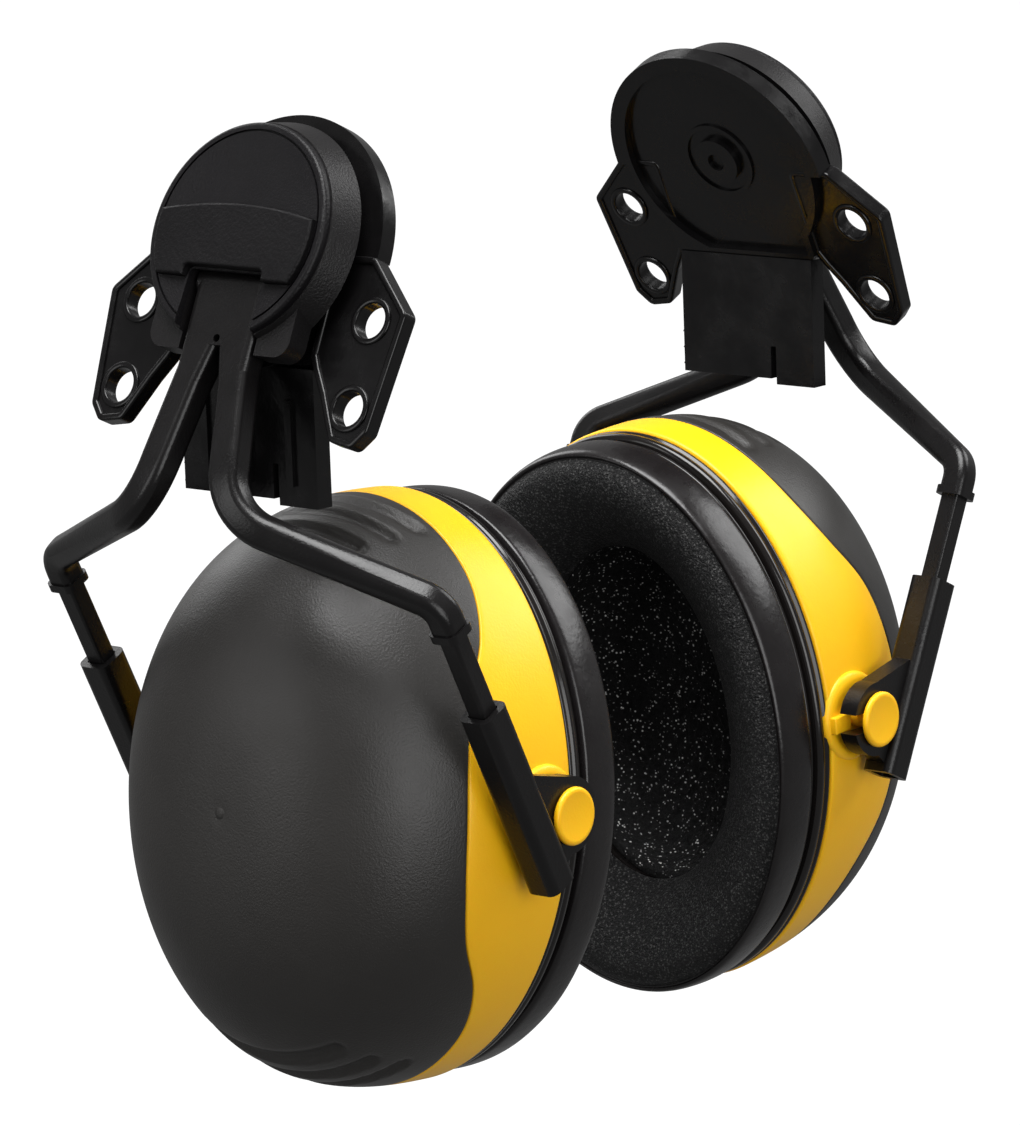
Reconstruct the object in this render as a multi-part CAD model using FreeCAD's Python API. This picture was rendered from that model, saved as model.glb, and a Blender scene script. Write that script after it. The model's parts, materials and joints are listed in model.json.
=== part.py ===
import FreeCAD, Part
import math
import os

# A pair of helmet-mounted hearing protection earmuffs, in millimetres.
# X is across the head, +Y is the front, +Z is up. The origin is midway between the two swivel
# hubs. One unit is built on the +X side and mirrored in X = 0 for the other ear.
# In each unit u = |X| grows outward, away from the head.

V = FreeCAD.Vector

# ---- where the adapter sits and how it leans ----
HUB_U = 59.6                 # swivel hub centre from the mid-plane
PLATE_LEAN = 25.0            # degrees, the adapter's top leans towards the head

# ---- adapter plate (plate frame: a = row Y, v = up the plate, w = outward) ----
FLANGE_R = 23.3              # horseshoe flange
FLANGE_V = -1.0              # centre of the flange, housing and cap on the plate
FLANGE_T = 2.0
FLANGE_FOOT = 0.6            # how far the full flange reaches below its centre
BODY_STEP = 2.2              # how much smaller the body is below that
BODY_ROUND = 2.5
LIP_DEPTH = 1.4              # rim that stands towards the head
DISH_R = 20.0                # recessed face inside the rim
DISH_V = -0.5
DISH_BOTTOM = 18.8           # how far the dish reaches below the hub
DISH_CORNER = 14.6           # where its squared rear corner stands
BASE_HALF = 16.0             # half width of the body below the flange
BASE_BOTTOM = 20.6
RIDGE_R = 7.4                # raised ring round the hub
RIDGE_T = 0.8
RIDGE_H = 0.45
WING_W0 = 0.3
WING_T = 2.2
WING_ROUND = 1.8
WING_INNER_GAP = 1.0         # between the housing's core and the wing
WING_HOLE_A = 25.8           # hole centres from the plate's middle
WING_HOLE_V = -12.2          # upper hole
WING_HOLE_PITCH = 15.1
WING_HOLE_R = 3.05
TONGUE_HALF = 15.0           # the standard 30 mm helmet slot
TONGUE_T = 3.5
TONGUE_U0 = 66.5
TONGUE_TOP = -18.6
TONGUE_BOTTOM = -41.1
SPLIT_Y = -5.8
SPLIT_W = 1.2
SPLIT_H = 6.0
STRIP_EXTRA = 1.0            # how much longer the strip behind the split is
RIB_PITCH = 9.5              # ribs on the tongue's outer face
RIB_HALF = 0.7
RIB_PROUD = 0.7
RIB_TOP = -24.0
RIB_FOOT = 2.5               # from the tongue's end to the ribs
TOOTH_H = 2.2                # ratchet teeth on the tongue's front edge
TOOTH_PITCH = 3.0
TOOTH_PROUD = 0.7
TOOTH_INSET = 0.6
TOOTH_FOOT = 1.2

# ---- hub ----
HUB_R = 3.5
HUB_FIT = 0.05               # round the pin where it sits fast in the adapter
HUB_HEAD_R = 4.6
HUB_HEAD_T = 1.2
SNAP_R = 4.8
SNAP_T = 1.2
HUB_BORE_R = 1.7             # blind hole in the pin's head
HUB_BORE_FLOOR = 0.4
WASHER_R = 12.5
WASHER_T = 0.3
WASHER_GAP = 0.2             # round the hub pin
RUNNING = 0.06               # radial clearance of a shaft that turns in its hole
FACE_GAP = 0.1               # between flat faces that slide on each other

# ---- housing and cap ----
CORE_R = 14.0
GROOVE_W = 5.0               # outer side of the groove between flange and housing
HOUSING_R = 21.0
HOUSING_TOP_R = 19.2
HOUSING_TOP = 10.4
FLOOR_TOP = 4.4
SLOT_GAP = 0.8               # each side of the arm's root
SLOT_TOP = -5.8
POCKET_HALF = 7.0
POCKET_TOP = 11.0
SKIRT_HALF = 15.6
SKIRT_BOTTOM = -21.5
SKIRT_TOP_W = 9.4
SKIRT_V = -9.0               # where the skirt starts inside the drum
SKIRT_ROUND = 3.0
CAP_R = 18.9
CAP_T = 1.5
CAP_DISH = 0.9
CAP_RIM = 1.6
CAP_EDGE = 0.7               # rounding of the cap's outer edge
CAP_LINE_W = 0.4             # fine groove inside the rim
CAP_LINE_H = 0.5
LIP_GAP = 0.2                # locating lip under the cap, in the housing's pocket
LIP_T = 1.0
LIP_H = 1.0
PANEL_T = 1.9
PANEL_SINK = 0.8
PANEL_INSET = 0.3
PANEL_EDGE = 0.5
PANEL_TOP = 3.3              # middle of the panel's arched top edge
PANEL_TOP_SIDE = 1.6
PANEL_FOOT = -9.6
NOTCH_ROUND = 1.0            # corners of the notch for the arm
NOTCH_STEP = 0.4             # how far the panel stands back from the cap's notch
COVER_PAST = 1.4             # how far above the tilt pin's axis the cap's notch ends

# ---- press spring, in the housing's pocket ----
SPRING_HALF = 4.4
SPRING_T = 0.5
SPRING_LOW = 6.5             # outer sides of its two leaves
SPRING_HIGH = 9.2
SPRING_TURN = 7.5            # where the leaves run into the bend
SPRING_BACK = -3.0           # free end of the upper leaf
SPRING_GAP = 0.3             # to the arm's barrel

# ---- arm ----
PIN_DROP = 1.1               # from the slot's top down to the arm's root
PIN_R = 1.25
PIN_HALF = 12.5
FLOOR_GAP = 0.4              # between the housing's floor and the arm's root
ARM_T = 5.2                  # thickness through the plate's normal
ROOT_HALF = 7.6
CROTCH_V = -20.5
CROTCH_HALF = 0.4
SPREAD_V = -27.0             # where the crotch runs into the legs' straight inner edges
LEG_W = 5.8
LEG_AIM_A = 4.6              # a point that each leg's centre line passes through
LEG_AIM_V = -24.0
BEND_A = 9.3                 # centre of a leg at its first bend
BEND_V = -48.6
BEND_R = 11.0
KNEE_R = 5.0
EDGE_R = 1.3
LEG_END = 5.0                # the leg tapers to this square section where it holds the stem
COLLAR_S = 5.7               # square collar at the leg's lower end
COLLAR_L = 1.5
CROTCH_HOLE_R = 0.7
CROTCH_HOLE_UP = 1.2         # dimple above the crotch
BEND_LEAD = 1.0              # straight run from the flat yoke to the first bend

# ---- stems and clips, measured along the stem from the level of the studs ----
STEM_LEAN = 26.2             # degrees, lower end towards the head
STEM_OFFSET = 9.35           # stem axis outboard of the stud
STEM_S = 3.7
STEM_CHAMFER = 0.6
STEM_LOW = -4.5
LEG_STEP = 39.8              # lower end of the leg
KNEE = 46.0                  # where the leg bends towards the root
TANG_R = 1.5
TANG_L = 4.7
TANG_FIT = 0.05
TANG_END_GAP = 0.3
TANG_ROOT = 1.0              # how deep the tang starts inside the stem
SLEEVE_S = 6.5
SLEEVE_LOW = -12.5
SLEEVE_HIGH = 24.0
SLEEVE_ROUND = 1.6
SLEEVE_SIDE_GAP = 0.65       # between the cup's widest point and the sleeve
SLIDE_GAP = 0.15             # each side of the stem in its sleeve
HOOK_R = 6.7
HOOK_T = 3.5
HOOK_TOE = 0.5               # how far above the sleeve's end the web starts
HOOK_BACK = 2.0              # how far past the stud's axis the web reaches
HOOK_GAP = 2.0               # between the cup's side and the hook
HOOK_SLOT = 3.6
HOOK_WEB = 11.0              # how far up the sleeve the hook's web reaches
OPEN_PIVOT_GAP = 0.3         # the front hook is the loop's opened pivot

# ---- cup (cup frame: a = row Y, q = up the cup, h = outward from the ring plane) ----
CUP_A = 39.5                 # half width
CUP_B = 52.0                 # half height
CUP_D = 45.0                 # depth of the dome
DOME_POWER = 2.7
GATE_R = 0.7                 # small flat where the moulding gate was
DOME_U = 81.6                # how far out the dome's pole stands
RING_Z = -97.4
CUP_LEAN = 5.0               # degrees, the lower edge stands out
BAND_T = 1.8
BAND_GAP = 0.15
SHELL_T = 1.6                # wall behind the band
BAND_LOBE = 23.5             # width of the band at the studs
BAND_WAIST = 11.4
BAND_END = 9.4               # width at the top and bottom
STUD_H = 6.7                 # stud axis above the ring plane
STUD_Q = 0.7
NECK_R = 1.75
HEAD_R = 5.0
HEAD_T = 1.2
HEAD_EDGE = 0.4
STUD_ROOT = 0.3              # from the band's inner side to the stud's end
STUD_FIT = 0.05              # round the stud where it sits fast in the band
PLATE_EDGE = 0.8
PLATE_T = 3.0
PLATE_INSET = 0.3
COLLAR_H = 4.0
COLLAR_T = 1.6
PLATE_HOLE_A = 24.0
PLATE_HOLE_B = 34.0
CARRIER_T = 1.2
CARRIER_INSET = 1.5
CUSHION_INSET_A = 0.2
CUSHION_INSET_B = 0.4
CUSHION_BACK = 4.8           # back of the cushion from the ring plane
CUSHION_FACE = 15.6
CUSHION_HOLE_A = 20.5
CUSHION_HOLE_B = 30.5
CUSHION_ROUND = 4.5
FOAM_GAP = 0.5               # from the collar to the foam
FOAM_D = 23.0
BOWL_A = 24.0                # hollow of the foam, half width
BOWL_D = 14.0
STACK_GAP = 0.2              # between the pieces stacked on the cup's open side

OVER = 1.0                   # how far a cutting shape passes the face that it cuts
FAR = 40.0                   # beyond every edge of the adapter, housing and cap

# ---- sizes that follow from the ones above ----
RING_U = DOME_U - CUP_D
ARM_HALF = ARM_T / 2
PIN_V = SLOT_TOP - PIN_DROP - ARM_HALF      # tilt pin on the plate
PIN_W = FLOOR_TOP + FLOOR_GAP + ARM_HALF
SLOT_HALF = ROOT_HALF + SLOT_GAP
STEM_Y = CUP_A + SLEEVE_SIDE_GAP + SLEEVE_S / 2
HOOK_Y = CUP_A + HOOK_GAP
HEAD_Y = HOOK_Y + HOOK_T + FACE_GAP
CAP_W = HOUSING_TOP + CAP_T
COVER_V = PIN_V + COVER_PAST
COLLAR_INSET = BAND_T + BAND_GAP + SHELL_T + 0.4


def leaning_frame(origin, lean):
    """x along row Y, y up the leaning face, z along its outward normal."""
    s = math.sin(math.radians(lean))
    c = math.cos(math.radians(lean))
    return FreeCAD.Placement(FreeCAD.Matrix(
        0, -s, c, origin.x,
        1, 0, 0, origin.y,
        0, c, s, origin.z,
        0, 0, 0, 1))


PLATE_FRAME = leaning_frame(V(HUB_U, 0, 0), PLATE_LEAN)
CUP_FRAME = leaning_frame(V(RING_U, 0, RING_Z), CUP_LEAN)
STUD = CUP_FRAME.multVec(V(0, STUD_Q, STUD_H))
STEM_DIR = V(math.sin(math.radians(STEM_LEAN)), 0, math.cos(math.radians(STEM_LEAN)))


def placed(shape, frame):
    out = shape.copy()
    out.Placement = frame.multiply(out.Placement)
    return out


def fused(shapes):
    return shapes[0].multiFuse(shapes[1:]).removeSplitter()


def block(x0, x1, y0, y1, z0, z1):
    return Part.makeBox(x1 - x0, y1 - y0, z1 - z0, V(x0, y0, z0))


def disc(radius, z0, z1, x=0.0, y=0.0):
    return Part.makeCylinder(radius, z1 - z0, V(x, y, z0), V(0, 0, 1))


def rod_y(radius, y0, y1, x, z):
    return Part.makeCylinder(radius, y1 - y0, V(x, y0, z), V(0, 1, 0))


def rounded_wire(points, radius):
    """Closed wire in the XY plane with every corner rounded as far as its sides allow."""
    edges = []
    last = None
    first = None
    count = len(points)
    for i in range(count):
        corner = V(*points[i], 0)
        before = V(*points[i - 1], 0) - corner
        after = V(*points[(i + 1) % count], 0) - corner
        half_turn = before.getAngle(after) / 2
        reach = min(radius / math.tan(half_turn), 0.45 * min(before.Length, after.Length))
        start = corner + before.normalize() * reach
        end = corner + after.normalize() * reach
        bisector = (before + after).normalize()
        r = reach * math.tan(half_turn)
        middle = corner + bisector * (r / math.sin(half_turn) - r)
        if last is not None:
            edges.append(Part.makeLine(last, start))
        else:
            first = start
        edges.append(Part.Arc(start, middle, end).toShape())
        last = end
    edges.append(Part.makeLine(last, first))
    return Part.Wire(edges)


def rounded_prism(points, radius, z0, z1):
    face = Part.Face(rounded_wire(points, radius))
    solid = face.extrude(V(0, 0, z1 - z0))
    solid.translate(V(0, 0, z0))
    return solid


def ellipse_prism(a, b, z0, z1):
    ellipse = Part.Ellipse(V(0, b, z0), V(a, 0, z0), V(0, 0, z0))
    return Part.Face(Part.Wire(ellipse.toShape())).extrude(V(0, 0, z1 - z0))


def fillet_at(solid, radius, keep):
    edges = [e for e in solid.Edges if keep(e)]
    return solid.makeFillet(radius, edges)


def edge_at_height(z):
    def keep(edge):
        box = edge.BoundBox
        return abs(box.ZMin - z) < 1e-3 and abs(box.ZMax - z) < 1e-3
    return keep


# ---------------------------------------------------------------- adapter
def wing(side):
    """One ear of the adapter with its two fixing holes, side = +1 front or -1 rear."""
    inner = CORE_R + WING_INNER_GAP
    outline = [
        (inner, -1.4), (23.7, -1.4), (33.1, -10.5), (31.0, -31.0),
        (28.4, -34.0), (23.3, -33.2), (19.0, -25.5), (16.4, -21.6), (inner, -19.0)]
    outline = [(side * a, v) for a, v in outline]
    ear = rounded_prism(outline, WING_ROUND, WING_W0, WING_W0 + WING_T)
    for row in range(2):
        v = WING_HOLE_V - row * WING_HOLE_PITCH
        ear = ear.cut(disc(WING_HOLE_R, -OVER, WING_T + OVER, side * WING_HOLE_A, v))
    return ear


def hub_ridge():
    """Low raised ring round the hub on the face that lies on the helmet."""
    ring = disc(RIDGE_R, -RIDGE_H, RIDGE_H)
    return ring.cut(disc(RIDGE_R - RIDGE_T, -2 * RIDGE_H, 2 * RIDGE_H))


def tongue():
    """Slot tongue, split near its rear side; the rear strip is a little longer."""
    u0 = TONGUE_U0
    u1 = u0 + TONGUE_T
    body = block(u0, u1, -TONGUE_HALF, TONGUE_HALF, TONGUE_BOTTOM, TONGUE_TOP)
    strip = block(u0, u1, -TONGUE_HALF, SPLIT_Y, TONGUE_BOTTOM - STRIP_EXTRA, TONGUE_TOP)
    body = body.fuse(strip).removeSplitter()
    split = block(u0 - OVER, u1 + OVER, SPLIT_Y - SPLIT_W / 2, SPLIT_Y + SPLIT_W / 2,
                  TONGUE_BOTTOM - STRIP_EXTRA - OVER, TONGUE_BOTTOM + SPLIT_H)
    shapes = [body.cut(split)]
    for y in (-RIB_PITCH, 0.0, RIB_PITCH):
        shapes.append(block(u1 - OVER / 2, u1 + RIB_PROUD, y - RIB_HALF, y + RIB_HALF,
                            TONGUE_BOTTOM + RIB_FOOT, RIB_TOP))
    for row in range(3):
        z = TONGUE_BOTTOM + TOOTH_FOOT + row * TOOTH_PITCH
        root = TONGUE_HALF - OVER / 2
        points = [V(u0 + TOOTH_INSET, root, z),
                  V(u0 + TOOTH_INSET, TONGUE_HALF + TOOTH_PROUD, z),
                  V(u0 + TOOTH_INSET, root, z + TOOTH_H)]
        face = Part.Face(Part.makePolygon(points + points[:1]))
        shapes.append(face.extrude(V(TONGUE_T - 2 * TOOTH_INSET, 0, 0)))
    return fused(shapes)


def adapter_plate():
    lip = -LIP_DEPTH
    flange = disc(FLANGE_R, lip, FLANGE_T, 0, FLANGE_V)
    flange = flange.common(block(-FAR, FAR, FLANGE_V - FLANGE_FOOT, FAR, lip, FLANGE_T))
    round_body = disc(FLANGE_R - BODY_STEP, lip, FLANGE_T, 0, FLANGE_V)
    base = rounded_prism(
        [(-BASE_HALF, 0), (-BASE_HALF, -BASE_BOTTOM), (BASE_HALF, -BASE_BOTTOM), (BASE_HALF, 0)],
        BODY_ROUND, lip, FLANGE_T)
    body = fused([flange, round_body, base])
    dish = disc(DISH_R, lip - OVER, 0, 0, DISH_V)
    dish = dish.common(block(-FAR, FAR, -DISH_BOTTOM, FAR, lip - OVER, 0))
    corner = block(-DISH_CORNER, 0, -DISH_BOTTOM, 0, lip - OVER, 0)
    body = body.cut(dish.fuse(corner))
    shapes = [body, wing(1), wing(-1), hub_ridge()]
    plate = placed(fused(shapes), PLATE_FRAME)
    whole = fused([plate, tongue()])
    hole = placed(disc(HUB_R + HUB_FIT, lip - OVER, FLANGE_T + OVER), PLATE_FRAME)
    return whole.cut(hole)


def hub_pin():
    floor = FLOOR_TOP + FACE_GAP
    pin = fused([
        disc(HUB_HEAD_R, -HUB_HEAD_T, 0),
        disc(HUB_R, -HUB_HEAD_T, floor + SNAP_T),
        disc(SNAP_R, floor, floor + SNAP_T)])
    pin = pin.cut(disc(HUB_BORE_R, -HUB_HEAD_T - OVER, -HUB_BORE_FLOOR))
    return placed(pin, PLATE_FRAME)


def friction_washer():
    washer = disc(WASHER_R, FLANGE_T, FLANGE_T + WASHER_T)
    washer = washer.cut(disc(HUB_R + WASHER_GAP, 0, FLANGE_T + WASHER_T + OVER))
    return placed(washer, PLATE_FRAME)


# ---------------------------------------------------------------- housing
def housing():
    bottom = FLANGE_T + WASHER_T + FACE_GAP
    core = disc(CORE_R, bottom, GROOVE_W + OVER / 2)
    drum = Part.makeCone(HOUSING_R, HOUSING_TOP_R, HOUSING_TOP - GROOVE_W,
                         V(0, FLANGE_V, GROOVE_W), V(0, 0, 1))
    skirt = rounded_prism(
        [(-SKIRT_HALF, SKIRT_V), (-SKIRT_HALF, SKIRT_BOTTOM),
         (SKIRT_HALF, SKIRT_BOTTOM), (SKIRT_HALF, SKIRT_V)],
        SKIRT_ROUND, GROOVE_W, SKIRT_TOP_W)
    body = fused([core, drum, skirt])
    body = body.cut(block(-SLOT_HALF, SLOT_HALF, -FAR, SLOT_TOP, FLOOR_TOP, FAR))
    body = body.cut(block(-POCKET_HALF, POCKET_HALF, SLOT_TOP - OVER, POCKET_TOP, FLOOR_TOP, FAR))
    body = body.cut(disc(HUB_R + RUNNING, 0, FLOOR_TOP + OVER))
    bore_half = PIN_HALF + FACE_GAP
    body = body.cut(rod_x_plate(PIN_R + HUB_FIT, -bore_half, bore_half))
    return placed(body, PLATE_FRAME)


def rod_x_plate(radius, a0, a1):
    """A rod on the tilt axis, in the plate frame."""
    return Part.makeCylinder(radius, a1 - a0, V(a0, PIN_V, PIN_W), V(1, 0, 0))


def cap():
    """Round cap: a dished upper lid, a sunk seat for the panel and a notch for the arm."""
    body = disc(CAP_R, HOUSING_TOP, CAP_W, 0, FLANGE_V)
    body = fillet_at(body, CAP_EDGE, edge_at_height(CAP_W))
    inner_r = CAP_R - CAP_RIM
    sphere_r = (inner_r ** 2 + CAP_DISH ** 2) / (2 * CAP_DISH)
    ball = Part.makeSphere(sphere_r, V(0, FLANGE_V, CAP_W - CAP_DISH + sphere_r), V(1, 0, 0))
    body = body.cut(ball)
    line_r = inner_r + 3 * CAP_LINE_W / 4
    line = disc(line_r, CAP_W - CAP_LINE_H, CAP_W + OVER, 0, FLANGE_V)
    line = line.cut(disc(line_r - CAP_LINE_W, CAP_W - OVER, CAP_W + 2 * OVER, 0, FLANGE_V))
    body = body.cut(line)
    body = body.cut(panel_shape(STACK_GAP / 2, CAP_W - PANEL_SINK, CAP_W + OVER))
    half = POCKET_HALF - LIP_GAP
    low = SLOT_TOP + 2 * LIP_GAP
    high = POCKET_TOP - LIP_GAP
    foot = HOUSING_TOP - LIP_H
    lip = block(-half, half, low, high, foot, HOUSING_TOP + LIP_GAP)
    lip = lip.cut(block(-half + LIP_T, half - LIP_T, low + LIP_T, high - LIP_T,
                        foot - OVER, HOUSING_TOP + LIP_GAP / 2))
    body = fused([body, lip])
    return placed(body.cut(arm_notch(SLOT_HALF, COVER_V, 0, CAP_W + OVER)), PLATE_FRAME)


def arm_notch(half, top, z0, z1):
    """Round-cornered notch that leaves the arm's root free to swing out."""
    corners = [(-half, -FAR), (half, -FAR), (half, top), (-half, top)]
    return rounded_prism(corners, NOTCH_ROUND, z0, z1)


def panel_shape(grow, z0, z1):
    """Lower half of the cap's face, with an arched top edge, notched for the arm."""
    r = CAP_R - CAP_RIM - PANEL_INSET + grow
    top = PANEL_TOP + grow
    side = PANEL_TOP_SIDE + grow
    half = math.sqrt(r ** 2 - (side - FLANGE_V) ** 2)
    arch_r = (half ** 2 + (top - side) ** 2) / (2 * (top - side))
    shape = disc(r, z0, z1, 0, FLANGE_V)
    shape = shape.common(disc(arch_r, z0, z1, 0, top - arch_r))
    shape = shape.common(block(-FAR, FAR, PANEL_FOOT - grow, FAR, z0, z1))
    notch = SLOT_HALF + NOTCH_STEP - grow
    return shape.cut(arm_notch(notch, COVER_V + NOTCH_STEP - grow, z0 - OVER, z1 + OVER))


def cap_panel():
    z0 = CAP_W - PANEL_SINK
    panel = panel_shape(0, z0, z0 + PANEL_T)
    panel = fillet_at(panel, PANEL_EDGE, edge_at_height(z0 + PANEL_T))
    return placed(panel, PLATE_FRAME)


def tilt_pin():
    return placed(rod_x_plate(PIN_R, -PIN_HALF, PIN_HALF), PLATE_FRAME)


def press_spring():
    """Hairpin leaf spring that presses on the arm's root, in the housing's pocket."""
    half = SPRING_HALF
    t = SPRING_T
    low = SPRING_LOW
    high = SPRING_HIGH
    turn = SPRING_TURN
    leaf = block(-half, half, PIN_V + ARM_HALF + SPRING_GAP, turn, low, low + t)
    back = block(-half, half, SPRING_BACK, turn, high - t, high)
    middle = V(-half, turn, (low + high) / 2)
    outer_r = (high - low) / 2
    bend = Part.makeCylinder(outer_r, 2 * half, middle, V(1, 0, 0))
    bend = bend.cut(Part.makeCylinder(outer_r - t, 2 * half, middle, V(1, 0, 0)))
    bend = bend.common(block(-half, half, turn, turn + 2 * outer_r, low - OVER, high + OVER))
    return placed(fused([leaf, back, bend]), PLATE_FRAME)


# ---------------------------------------------------------------- arm
def stem_point(along, side):
    base = V(STUD.x + STEM_OFFSET, side * STEM_Y, STUD.z)
    return base + STEM_DIR * along


def square_along_stem(size, low, high, side, corner):
    """A square bar on the stem's axis with rounded or bevelled corners."""
    half = size / 2
    bar = rounded_prism([(-half, -half), (half, -half), (half, half), (-half, half)],
                        corner, low, high)
    frame = FreeCAD.Placement(V(0, 0, 0), FreeCAD.Rotation(V(0, 1, 0), STEM_LEAN))
    origin = V(STUD.x + STEM_OFFSET, side * STEM_Y, STUD.z)
    return placed(bar, FreeCAD.Placement(origin, frame.Rotation))


def bent_path(points, radii):
    """Straight runs joined by tangent arcs."""
    edges = []
    last = points[0]
    for i in range(1, len(points) - 1):
        corner = points[i]
        before = (points[i - 1] - corner).normalize()
        after = (points[i + 1] - corner).normalize()
        half_turn = before.getAngle(after) / 2
        reach = radii[i - 1] / math.tan(half_turn)
        start = corner + before * reach
        end = corner + after * reach
        bisector = (before + after).normalize()
        middle = corner + bisector * (radii[i - 1] / math.sin(half_turn) - radii[i - 1])
        edges.append(Part.makeLine(last, start))
        edges.append(Part.Arc(start, middle, end).toShape())
        last = end
    edges.append(Part.makeLine(last, points[-1]))
    return Part.Wire(edges)


def leg_points(side):
    """The leg's centre line below the flat yoke: where it starts, its two bends and its end."""
    aim = PLATE_FRAME.multVec(V(side * LEG_AIM_A, LEG_AIM_V, PIN_W))
    bend = PLATE_FRAME.multVec(V(side * BEND_A, BEND_V, PIN_W))
    knee = stem_point(KNEE, side)
    half_turn = (aim - bend).getAngle(knee - bend) / 2
    straight = BEND_R / math.tan(half_turn) + BEND_LEAD
    start = bend + (aim - bend).normalize() * straight
    return [start, bend, knee, stem_point(LEG_STEP + COLLAR_L / 2, side)]


def flat_yoke():
    """The flat part of the arm: its root and both legs down to their first bend."""
    start = PLATE_FRAME.inverse().multVec(leg_points(1)[0])
    run = V(BEND_A - LEG_AIM_A, BEND_V - LEG_AIM_V, 0).normalize()
    across = V(-run.y, run.x, 0)
    outer = V(start.x, start.y, 0) + across * (LEG_W / 2)
    inner = V(start.x, start.y, 0) - across * (LEG_W / 2)
    shoulder = outer - run * ((outer.x - ROOT_HALF) / run.x)
    fork = inner - run * ((inner.y - SPREAD_V) / run.y)
    right = [(ROOT_HALF, PIN_V), (shoulder.x, shoulder.y), (outer.x, outer.y),
             (inner.x, inner.y), (fork.x, fork.y), (CROTCH_HALF, CROTCH_V)]
    left = [(-a, v) for a, v in reversed(right)]
    outline = [V(a, v, PIN_W - ARM_HALF) for a, v in right + left]
    yoke = Part.Face(Part.makePolygon(outline + outline[:1])).extrude(V(0, 0, ARM_T))
    long_edges = [e for e in yoke.Edges
                  if abs(e.Vertexes[0].Point.z - e.Vertexes[-1].Point.z) < 1e-6
                  and abs(e.Vertexes[0].Point.y - e.Vertexes[-1].Point.y) > 5]
    return yoke.makeFillet(EDGE_R, long_edges)


def leg_section(half_a, half_out, across, out, run, centre):
    """Rounded rectangle across the leg's run, centred on its path."""
    section = rounded_wire([(-half_a, -half_out), (half_a, -half_out),
                            (half_a, half_out), (-half_a, half_out)], EDGE_R)
    section.Placement = FreeCAD.Placement(FreeCAD.Matrix(
        across.x, out.x, run.x, centre.x,
        across.y, out.y, run.y, centre.y,
        across.z, out.z, run.z, centre.z,
        0, 0, 0, 1))
    return section


def bent_leg(side):
    """One leg below the flat yoke, round both bends to the block that holds its stem."""
    points = leg_points(side)
    run = (points[1] - points[0]).normalize()
    across = PLATE_FRAME.Rotation.multVec(V(1, 0, 0))
    across = (across - run * across.dot(run)).normalize()
    out = run.cross(across)
    top = leg_section(LEG_W / 2, ARM_HALF, across, out, run, points[0])
    low_run = STEM_DIR * -1
    low_across = V(0, 1, 0)
    low_out = low_run.cross(low_across)
    low = leg_section(LEG_END / 2, LEG_END / 2, low_across, low_out, low_run, points[-1])
    return bent_path(points, [BEND_R, KNEE_R]).makePipeShell([top, low], True, False)


def arm():
    barrel = rod_x_plate(ARM_HALF, -ROOT_HALF, ROOT_HALF)
    shapes = [placed(flat_yoke(), PLATE_FRAME), placed(barrel, PLATE_FRAME)]
    for side in (1, -1):
        shapes.append(bent_leg(side))
        shapes.append(square_along_stem(COLLAR_S, LEG_STEP, LEG_STEP + COLLAR_L, side, EDGE_R))
    body = fused(shapes)
    bore_half = ROOT_HALF + OVER
    body = body.cut(placed(rod_x_plate(PIN_R + RUNNING, -bore_half, bore_half), PLATE_FRAME))
    for side in (1, -1):
        body = body.cut(Part.makeCylinder(TANG_R + TANG_FIT, TANG_L + TANG_END_GAP,
                                          stem_point(LEG_STEP, side), STEM_DIR))
    dimple = disc(CROTCH_HOLE_R, PIN_W, PIN_W + ARM_T, 0, CROTCH_V + CROTCH_HOLE_UP)
    return body.cut(placed(dimple, PLATE_FRAME))


def stem(side):
    bar = square_along_stem(STEM_S, STEM_LOW, LEG_STEP, side, STEM_CHAMFER)
    tang = Part.makeCylinder(TANG_R, TANG_L + TANG_ROOT, stem_point(LEG_STEP - TANG_ROOT, side),
                             STEM_DIR)
    return fused([bar, tang])


def clip(side, pivot_gap):
    """Sleeve on the stem with the open hook that takes the cup's stud."""
    sleeve = square_along_stem(SLEEVE_S, SLEEVE_LOW, SLEEVE_HIGH, side, SLEEVE_ROUND)
    y0 = min(side * HOOK_Y, side * (HOOK_Y + HOOK_T))
    y1 = y0 + HOOK_T
    eye = rod_y(HOOK_R, y0, y1, STUD.x, STUD.z)
    low = stem_point(SLEEVE_LOW + HOOK_TOE, side)
    high = stem_point(HOOK_WEB, side)
    web = Part.makePolygon([V(low.x, y0, low.z), V(high.x, y0, high.z),
                            V(STUD.x, y0, STUD.z + HOOK_R), V(STUD.x - HOOK_BACK, y0, STUD.z),
                            V(STUD.x, y0, STUD.z - HOOK_R), V(low.x, y0, low.z)])
    web = Part.Face(web).extrude(V(0, HOOK_T, 0))
    body = fused([sleeve, eye, web])
    body = body.cut(square_along_stem(STEM_S + 2 * SLIDE_GAP, SLEEVE_LOW - OVER,
                                      SLEEVE_HIGH + OVER, side, STEM_CHAMFER))
    body = body.cut(rod_y(NECK_R + pivot_gap, y0 - OVER, y1 + OVER, STUD.x, STUD.z))
    mouth = block(STUD.x - 2 * HOOK_R, STUD.x, y0 - OVER, y1 + OVER,
                  STUD.z - HOOK_SLOT / 2, STUD.z + HOOK_SLOT / 2)
    return body.cut(mouth)


# ---------------------------------------------------------------- cup
def tall(a):
    """Half height of the ellipse in the cup's proportions whose half width is a."""
    return a * CUP_B / CUP_A


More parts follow.
